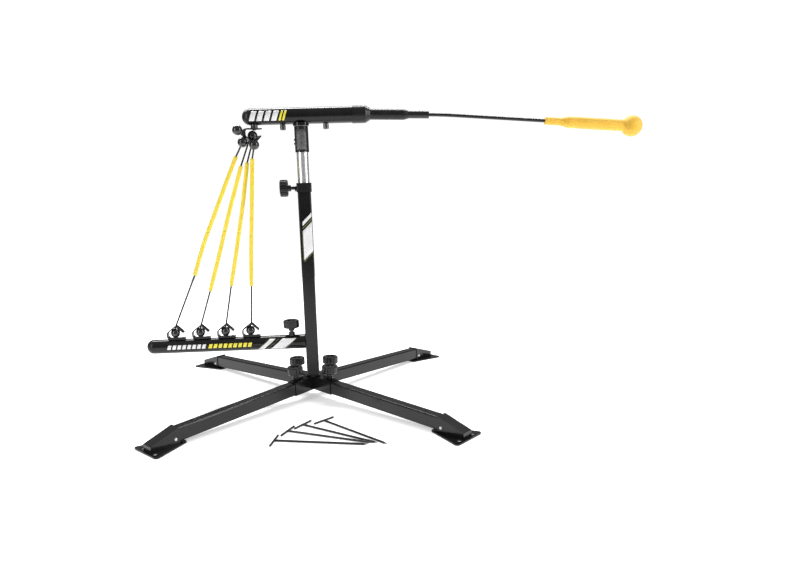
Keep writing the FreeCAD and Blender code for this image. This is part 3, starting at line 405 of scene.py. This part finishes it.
def tube(line, radius, sides=20, hollow=0.0, depth=0.006):
    """A tube along a line, closed at both ends, with recessed ends where hollow is an inner radius."""
    shape = bmesh.new()
    placed = frames_along(line)
    rings = [ring_at(shape, point, across, up, radius, sides) for point, across, up in placed]
    join_rings(shape, rings)
    for ring, at, inward in ((rings[0], placed[0], 1), (rings[-1], placed[-1], -1)):
        point, across, up = at
        edge = ring
        if hollow:
            tangent = across.cross(up) * inward
            lip = ring_at(shape, point, across, up, hollow, sides)
            floor = ring_at(shape, point + tangent * depth, across, up, hollow, sides)
            join_rings(shape, [edge, lip, floor])
            edge = floor
        shape.faces.new(edge)
    return shape


def braid(line, radius, sides=14, lay=0.006, ripple=0.12):
    """A cord whose surface carries the slanted ridges of its braid."""
    shape = bmesh.new()
    rings = []
    run = 0.0
    last = line[0]
    for point, across, up in frames_along(line):
        run += (point - last).length
        last = point
        ring = []
        for k in range(sides):
            angle = 2 * math.pi * k / sides
            twist = 2 * math.pi * run / lay
            ridge = math.sin(4 * angle + twist) * math.sin(4 * angle - twist)
            reach = radius * (1 - ripple * abs(ridge))
            ring.append(shape.verts.new(point + (across * math.cos(angle) + up * math.sin(angle)) * reach))
        rings.append(ring)
    join_rings(shape, rings)
    shape.faces.new(rings[0])
    shape.faces.new(rings[-1])
    return shape


# ---------------------------------------------------------------- foam head

SHAFT_TILT = math.radians(1.8)
SHAFT_SAG = math.radians(2.8)
SHAFT_BEND_AT = 198 * MM
SHAFT_BEND_RUN = 80 * MM
FOAM_START = 262 * MM
FOAM_TO_BALL = 260 * MM
FOAM_BALL_R = 30 * MM


def shaft_place():
    """The frame of the shaft's straight outer part, +X towards the tip."""
    right_end = Matrix.Translation((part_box("upper_arm_tube")[1][0], 0, UPPER_ARM_Z))
    radius = SHAFT_BEND_RUN / math.sin(SHAFT_SAG)
    bend_end = Matrix.Translation((SHAFT_BEND_AT + SHAFT_BEND_RUN, 0, -radius * (1 - math.cos(SHAFT_SAG))))
    return right_end @ Matrix.Rotation(SHAFT_TILT, 4, "Y") @ bend_end @ Matrix.Rotation(SHAFT_SAG, 4, "Y")


def foam_profile():
    """(along, radius) of the foam, from the neck's open end to the ball's tip."""
    start, ball = FOAM_START, FOAM_START + FOAM_TO_BALL
    neck, body = 10.8 * MM, 16.1 * MM
    rows = [(start, 0), (start, neck - 1.6 * MM), (start + 0.5 * MM, neck - 0.5 * MM), (start + 1.6 * MM, neck)]
    steps = 8
    for k in range(1, steps):
        rows.append((start + 1.6 * MM + 42 * MM * k / steps, neck))
    for k in range(steps + 1):
        share = k / steps
        ease = share * share * (3 - 2 * share)
        rows.append((start + 44 * MM + 27 * MM * share, neck + (body - neck) * ease))
    meet = math.acos(body / FOAM_BALL_R)
    last = ball - FOAM_BALL_R * math.sin(meet)
    first = start + 71 * MM
    steps = 22
    for k in range(1, steps):
        swell = 0.35 * MM * math.sin(math.pi * k / steps)
        rows.append((first + (last - 5 * MM - first) * k / steps, body + swell))
    for k in range(5):
        share = k / 5
        rows.append((last - 5 * MM + 5 * MM * share, body + 0.9 * MM * share * share))
    steps = 30
    for k in range(1, steps):
        angle = meet * 0.93 - (meet * 0.93 + math.pi / 2) * k / steps
        rows.append((ball - FOAM_BALL_R * math.sin(angle), FOAM_BALL_R * math.cos(angle)))
    rows.append((ball + FOAM_BALL_R, 0))
    return rows


def make_foam_head():
    shape = lathe(foam_profile(), shaft_place(), 72)
    rng = random.Random(4)
    for vertex in shape.verts:
        vertex.co += Vector((rng.uniform(-1, 1), rng.uniform(-1, 1), rng.uniform(-1, 1))) * 0.05 * MM
    head = piece("foam_head_moulded", shape, "foam", "arm")
    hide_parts("foam_head")


# ---------------------------------------------------------------- bands

# Per band, in metres: the cord up from its hook's peak, the elastic tube's lower and upper half, and
# the cord up to the top hook. Halves meet where both follow the mast.
BANDS = {
    "band_1": {
        "low_cord": [(-0.411, 0, 0.243), (-0.376, -0.001, 0.319), (-0.341, -0.002, 0.394)],
        "low_tube": [(-0.341, -0.002, 0.394), (-0.3185, -0.003, 0.456), (-0.299, -0.004, 0.503),
                     (-0.290, -0.0045, 0.522)],
        "high_tube": [(-0.290, -0.0045, 0.522), (-0.262, -0.006, 0.582), (-0.2275, -0.007, 0.658),
                      (-0.191, -0.008, 0.735)],
        "high_cord": [(-0.191, -0.008, 0.735), (-0.179, -0.016, 0.754), (-0.167, -0.024, 0.773)],
    },
    "band_2": {
        "low_cord": [(-0.335, 0, 0.243), (-0.317, -0.001, 0.294), (-0.299, -0.002, 0.345)],
        "low_tube": [(-0.299, -0.002, 0.345), (-0.272, -0.003, 0.423), (-0.2465, -0.004, 0.505),
                     (-0.2407, -0.0042, 0.523)],
        "high_tube": [(-0.2407, -0.0042, 0.523), (-0.2235, -0.005, 0.578), (-0.1995, -0.0055, 0.647),
                      (-0.179, -0.006, 0.708)],
        "high_cord": [(-0.179, -0.006, 0.708), (-0.167, -0.0045, 0.738), (-0.151, -0.003, 0.778)],
    },
    "band_3": {
        "low_cord": [(-0.259, 0, 0.243), (-0.247, -0.0005, 0.301), (-0.235, -0.001, 0.358)],
        "low_tube": [(-0.235, -0.001, 0.358), (-0.2185, -0.0015, 0.428), (-0.2045, -0.002, 0.493),
                     (-0.1991, -0.002, 0.518)],
        "high_tube": [(-0.1991, -0.002, 0.518), (-0.1865, -0.002, 0.577), (-0.174, -0.0015, 0.643),
                      (-0.161, -0.001, 0.717)],
        "high_cord": [(-0.161, -0.001, 0.717), (-0.1535, -0.0015, 0.7395), (-0.142, -0.003, 0.774)],
    },
    "band_4": {
        "low_cord": [(-0.182, 0, 0.243), (-0.178, -0.001, 0.3), (-0.174, -0.002, 0.356)],
        "low_tube": [(-0.174, -0.002, 0.356), (-0.171, -0.003, 0.408), (-0.167, -0.005, 0.46),
                     (-0.1632, -0.006, 0.507)],
        "high_tube": [(-0.1632, -0.006, 0.507), (-0.1585, -0.0073, 0.558), (-0.1515, -0.0105, 0.64),
                      (-0.144, -0.014, 0.728)],
        "high_cord": [(-0.144, -0.014, 0.728), (-0.139, -0.022, 0.746), (-0.134, -0.030, 0.763)],
    },
}
BAND_R = 5.9 * MM
BAND_BORE = 3.0 * MM
CORD_R = 2.6 * MM
CORD_STEP = 0.9 * MM
TUBE_STEP = 6 * MM
HOOK_X = [-0.4118, -0.3354, -0.259, -0.1826]


def make_bands():
    """Latex tubes on braided cords, from the lower hooks to the top hook."""
    for name, runs in BANDS.items():
        for part_name, points in runs.items():
            line = smooth_line([Vector(point) for point in points])
            is_cord = "cord" in part_name
            line = even_line(line, CORD_STEP if is_cord else TUBE_STEP)
            if is_cord:
                shape = braid(line, CORD_R)
                made = piece(f"{name}_{part_name}", shape, "cord_braid")
            else:
                shape = tube(line, BAND_R, 24, BAND_BORE)
                made = piece(f"{name}_{part_name}", shape, "latex")
            if part_name.startswith("low"):
                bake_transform(made)
            else:
                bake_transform(made)
            if part_name == "low_tube":
                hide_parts(name)


def make_hook_cords():
    """The short cord from each lower ball up through its hook's slot, and the free ball's on top."""
    for number in range(4):
        name = f"band_{number + 1}"
        top = Vector(BANDS[name]["low_cord"][0])
        hook = HOOK_X[number]
        low = Vector((hook - 4 * MM, 0, LOWER_ARM_Z + LOWER_ARM_R + 33 * MM))
        shape = braid(even_line([low, top], CORD_STEP), CORD_R)
        piece(f"hook_cord_{number + 1}", shape, "cord_braid", "base")
    free = [Vector((-0.176, -0.034, 0.803)), Vector((-0.162, -0.02, 0.788)), Vector((-0.15, -0.006, 0.782))]
    piece("hook_cord_free", braid(even_line(free, CORD_STEP), CORD_R), "cord_braid", "arm")


# ---------------------------------------------------------------- stripes and labels


SKIN_GAP = 0.02 * MM
SKIN_THICKNESS = 0.12 * MM


def skin_over(rows):
    """A thin skin: rows of (point, outward) pairs, given a thickness outwards and a closed edge."""
    shape = bmesh.new()
    inner = [[shape.verts.new(point + out * SKIN_GAP) for point, out in row] for row in rows]
    outer = [[shape.verts.new(point + out * SKIN_THICKNESS) for point, out in row] for row in rows]
    for layer in (inner, outer):
        join_rings(shape, layer, closed=False)
    border = [(k, 0) for k in range(len(rows))] + [(len(rows) - 1, k) for k in range(1, len(rows[0]))]
    border += [(k, len(rows[0]) - 1) for k in range(len(rows) - 2, -1, -1)]
    border += [(0, k) for k in range(len(rows[0]) - 2, 0, -1)]
    for (r1, c1), (r2, c2) in zip(border, border[1:] + border[:1]):
        shape.faces.new((inner[r1][c1], inner[r2][c2], outer[r2][c2], outer[r1][c1]))
    return shape


def arm_skin(axis_z, radius, x_low, width, z_low, z_high, slant):
    """A slanted bar wrapped on the front of a level tube. x_low is its left edge at z_low."""
    low = math.asin((z_low - axis_z) / radius)
    high = math.asin((z_high - axis_z) / radius)
    rows = []
    steps = 16
    for k in range(steps + 1):
        angle = low + (high - low) * k / steps
        height = (math.sin(angle) * radius + axis_z - z_low) / (z_high - z_low)
        out = Vector((0, -math.cos(angle), math.sin(angle)))
        left = x_low + slant * height
        rows.append([(Vector((left + width * j / 4, 0, axis_z)) + out * radius, out) for j in range(5)])
    return skin_over(rows)


def post_section(run):
    """A point of the post's outline and its outward direction, by the distance along it from x = 0."""
    corner = 4 * MM
    flat = POST_HALF - corner
    if run <= flat:
        return Vector((run, -POST_HALF, 0)), Vector((0, -1, 0))
    arc = corner * math.pi / 2
    if run <= flat + arc:
        angle = (run - flat) / corner
        out = Vector((math.sin(angle), -math.cos(angle), 0))
        return Vector((flat, -flat, 0)) + out * corner, out
    return Vector((POST_HALF, -flat + run - flat - arc, 0)), Vector((1, 0, 0))


def post_skin(run_low, run_high, z_low, z_high, rise):
    """A slanted panel on the post's front that turns its right corner. rise is per metre to the right."""
    rows = []
    steps = 24
    for k in range(steps + 1):
        run = run_low + (run_high - run_low) * k / steps
        place, out = post_section(run)
        low = z_low + rise * (run - run_low)
        rows.append([(place + Vector((0, 0, low + (z_high - z_low) * j / 6)), out) for j in range(7)])
    return skin_over(rows)


POST_STRIPE_RISE = 0.97
# Name, left and right run along the post's outline in millimetres, low and high edge, finish.
POST_PANELS = [
    ("post_stripe", -9, 19, 0.531, 0.543, "white_vinyl"),
    ("post_stripe_shade", -9, 19, 0.5225, 0.5255, "olive_vinyl"),
    ("post_panel_side", -11.8, -10.8, 0.428, 0.518, "olive_vinyl"),
    ("post_panel", -9, 19, 0.430, 0.5165, "white_vinyl"),
    ("post_panel_edge", -9, 19, 0.4245, 0.427, "olive_vinyl"),
]


def make_post_stripes():
    for name, left, right, low, high, material in POST_PANELS:
        piece(name, post_skin(left * MM, right * MM, low, high, POST_STRIPE_RISE), material, "base")


def make_arm_stripes():
    """Two slanted bars and two hairlines near the lower arm's knob, and plain dashes further out."""
    low, high = LOWER_ARM_Z - 17 * MM, LOWER_ARM_Z + 15 * MM
    slant = 38 * MM
    bars = [
        ("stripe_hairline_1", -0.1685, 1.2, "olive_vinyl"),
        ("stripe_1", -0.165, 17, "white_vinyl"),
        ("stripe_hairline_2", -0.1385, 1.2, "olive_vinyl"),
        ("stripe_2", -0.127, 42, "white_vinyl"),
        ("stripe_hairline_3", -0.0835, 1.0, "olive_vinyl"),
    ]
    for name, x, width, material in bars:
        skin = arm_skin(LOWER_ARM_Z, LOWER_ARM_R, x, width * MM, low, high, slant)
        piece(name, skin, material, "base")
    dash_low, dash_high = LOWER_ARM_Z - 6 * MM, LOWER_ARM_Z + 7 * MM
    x = -0.441
    for number in range(17):
        color = "white_vinyl" if number < 8 else "yellow_vinyl"
        skin = arm_skin(LOWER_ARM_Z, LOWER_ARM_R, x, 10.5 * MM, dash_low, dash_high, 4 * MM)
        piece(f"lower_dash_{number + 1:02d}", skin, color, "base")
        x += 15 * MM if number != 7 else 20 * MM


def make_upper_arm_bars():
    """A plain block of slanted white bars and two yellow ones."""
    low, high = UPPER_ARM_Z - 13 * MM, UPPER_ARM_Z + 14 * MM
    x = -0.146
    bars = [(15, 21, "white_vinyl")] * 4 + [(6, 10, "yellow_vinyl")] * 2
    for number, (width, step, material) in enumerate(bars):
        skin = arm_skin(UPPER_ARM_Z, UPPER_ARM_R, x, width * MM, low, high, 9 * MM)
        piece(f"upper_bar_{number + 1}", skin, material, "arm")
        x += step * MM


def make_housing_label():
    """A blank grey label wrapped on the front of the bearing housing."""
    rows = []
    half_turn = math.radians(46)
    low, high = HOUSING_LOW + 7 * MM, HOUSING_TOP - 9 * MM
    for k in range(17):
        angle = -half_turn + 2 * half_turn * k / 16
        out = Vector((math.sin(angle), -math.cos(angle), 0))
        rows.append([(out * HOUSING_R + Vector((0, 0, low + (high - low) * j / 4)), out) for j in range(5)])
    piece("housing_label", skin_over(rows), "grey_label", "mast")


# ---------------------------------------------------------------- welds


def weld(name, line, body, radius=1.7 * MM):
    """A bead of overlapping ripples along a line."""
    line = even_line(line, 0.0012)
    shape = bmesh.new()
    rings = []
    run = 0.0
    last = line[0]
    for point, across, up in frames_along(line):
        run += (point - last).length
        last = point
        ripple = 1 + 0.14 * abs(math.sin(math.pi * run / (3.2 * MM)))
        rings.append(ring_at(shape, point, across, up, radius * ripple, 10))
    join_rings(shape, rings)
    shape.faces.new(rings[0])
    shape.faces.new(rings[-1])
    return piece(name, shape, "weld_bead", body)


def rounded_square(half, corner, z):
    """A closed path round a square tube, as points."""
    points = []
    for quarter in range(4):
        center = Vector(((half - corner) * (1 if quarter in (0, 3) else -1),
                         (half - corner) * (1 if quarter in (0, 1) else -1), z))
        for k in range(7):
            angle = math.pi / 2 * (quarter + k / 6)
            points.append(center + Vector((math.cos(angle), math.sin(angle), 0)) * corner)
    return points + [points[0]]


def make_welds():
    cap_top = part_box("post_tube")[0][2]
    weld("post_weld", rounded_square(POST_HALF + 0.2 * MM, 4.2 * MM, cap_top + 0.4 * MM), "base")
    ring = []
    for k in range(41):
        angle = 2 * math.pi * k / 40
        ring.append(Vector((-POST_HALF - 0.4 * MM, math.cos(angle) * (LOWER_ARM_R + 0.4 * MM) * 0.86,
                            LOWER_ARM_Z + math.sin(angle) * (LOWER_ARM_R + 0.4 * MM))))
    upper = [point for point in ring if abs(point.y) < POST_HALF - 3 * MM and point.z > LOWER_ARM_Z]
    lower = [point for point in ring if abs(point.y) < POST_HALF - 3 * MM and point.z < LOWER_ARM_Z]
    for name, line in (("arm_weld_top", sorted(upper, key=lambda p: p.y)),
                       ("arm_weld_low", sorted(lower, key=lambda p: p.y))):
        if len(line) > 2:
            weld(name, line, "base", 1.4 * MM)


# ---------------------------------------------------------------- floor, light and camera


FLOOR_SIZE = 5.0
FLOOR_DROP = 0.2 * MM


def make_stage():
    bpy.ops.mesh.primitive_plane_add(size=FLOOR_SIZE, location=(0, 0, -FLOOR_DROP))
    floor = bpy.context.object
    floor.name = "floor"
    material = bpy.data.materials.new("floor")
    material.use_nodes = True
    surface = material.node_tree.nodes["Principled BSDF"]
    surface.inputs["Base Color"].default_value = (0.93, 0.93, 0.935, 1)
    surface.inputs["Roughness"].default_value = 0.9
    surface.inputs["Specular IOR Level"].default_value = 0.0
    surface.inputs["Emission Color"].default_value = (1, 1, 1, 1)
    surface.inputs["Emission Strength"].default_value = 0.42
    floor.data.materials.append(material)


def area_light(name, place, aim, width, height, power):
    light = bpy.data.lights.new(name, "AREA")
    light.shape = "RECTANGLE"
    light.size = width
    light.size_y = height
    light.energy = power
    holder = bpy.data.objects.new(name, light)
    holder.location = place
    holder.rotation_euler = (Vector(aim) - Vector(place)).to_track_quat("-Z", "Y").to_euler()
    bpy.context.collection.objects.link(holder)


def make_lights():
    world = bpy.data.worlds.new("studio")
    bpy.context.scene.world = world
    world.use_nodes = True
    tree = world.node_tree
    back = tree.nodes["Background"]
    back.inputs["Color"].default_value = (1, 1, 1, 1)
    direction = node(tree, "ShaderNodeTexCoord").outputs["Generated"]
    height = node(tree, "ShaderNodeSeparateXYZ", Vector=direction).outputs["Z"]
    strength = ramp(tree, height, -0.1, 0.9)
    glow = math_node(tree, "ADD", math_node(tree, "MULTIPLY", strength, 0.3), 0.16)
    seen = node(tree, "ShaderNodeLightPath").outputs["Is Camera Ray"]
    mixed = node(tree, "ShaderNodeMix", data_type="FLOAT")
    tree.links.new(seen, mixed.inputs[0])
    tree.links.new(glow, mixed.inputs[2])
    mixed.inputs[3].default_value = 1.05
    tree.links.new(mixed.outputs[0], back.inputs["Strength"])
    area_light("overhead", (0.0, 1.25, 2.6), (0, 0.2, 0.2), 3.4, 0.55, 120)
    area_light("left_front", (-1.9, -1.5, 1.25), (0, 0, 0.6), 0.5, 2.0, 24)
    area_light("right_front", (2.1, -0.8, 1.25), (0.1, 0, 0.6), 0.4, 2.0, 26)


CAMERA_PLACE = (0.10474, -2.01806, 0.67967)
CAMERA_YAW, CAMERA_PITCH, CAMERA_ROLL = math.radians(-2.2), math.radians(-13.834), math.radians(-1.676)


def make_camera():
    """The camera stands in front of the trainer, a little to the right, and looks slightly down."""
    camera = bpy.data.cameras.new("camera")
    camera.sensor_width = 36
    camera.lens = 29.783
    camera.shift_x = 0.04053
    camera.shift_y = 0.05467
    holder = bpy.data.objects.new("camera", camera)
    bpy.context.collection.objects.link(holder)
    aim = Matrix.Rotation(CAMERA_YAW, 4, "Z") @ Matrix.Rotation(math.pi / 2 + CAMERA_PITCH, 4, "X")
    roll = Matrix.Rotation(CAMERA_ROLL, 4, "Z")
    holder.matrix_world = Matrix.Translation(CAMERA_PLACE) @ aim @ roll
    bpy.context.scene.camera = holder
    view = bpy.context.scene.view_settings
    view.view_transform = "Standard"
    view.look = "None"


def build():
    make_camera()
    make_stage()
    make_lights()
    dress_frame()
    make_foam_head()
    make_bands()
    make_hook_cords()
    make_post_stripes()
    make_arm_stripes()
    make_upper_arm_bars()
    make_housing_label()
    make_welds()


build()
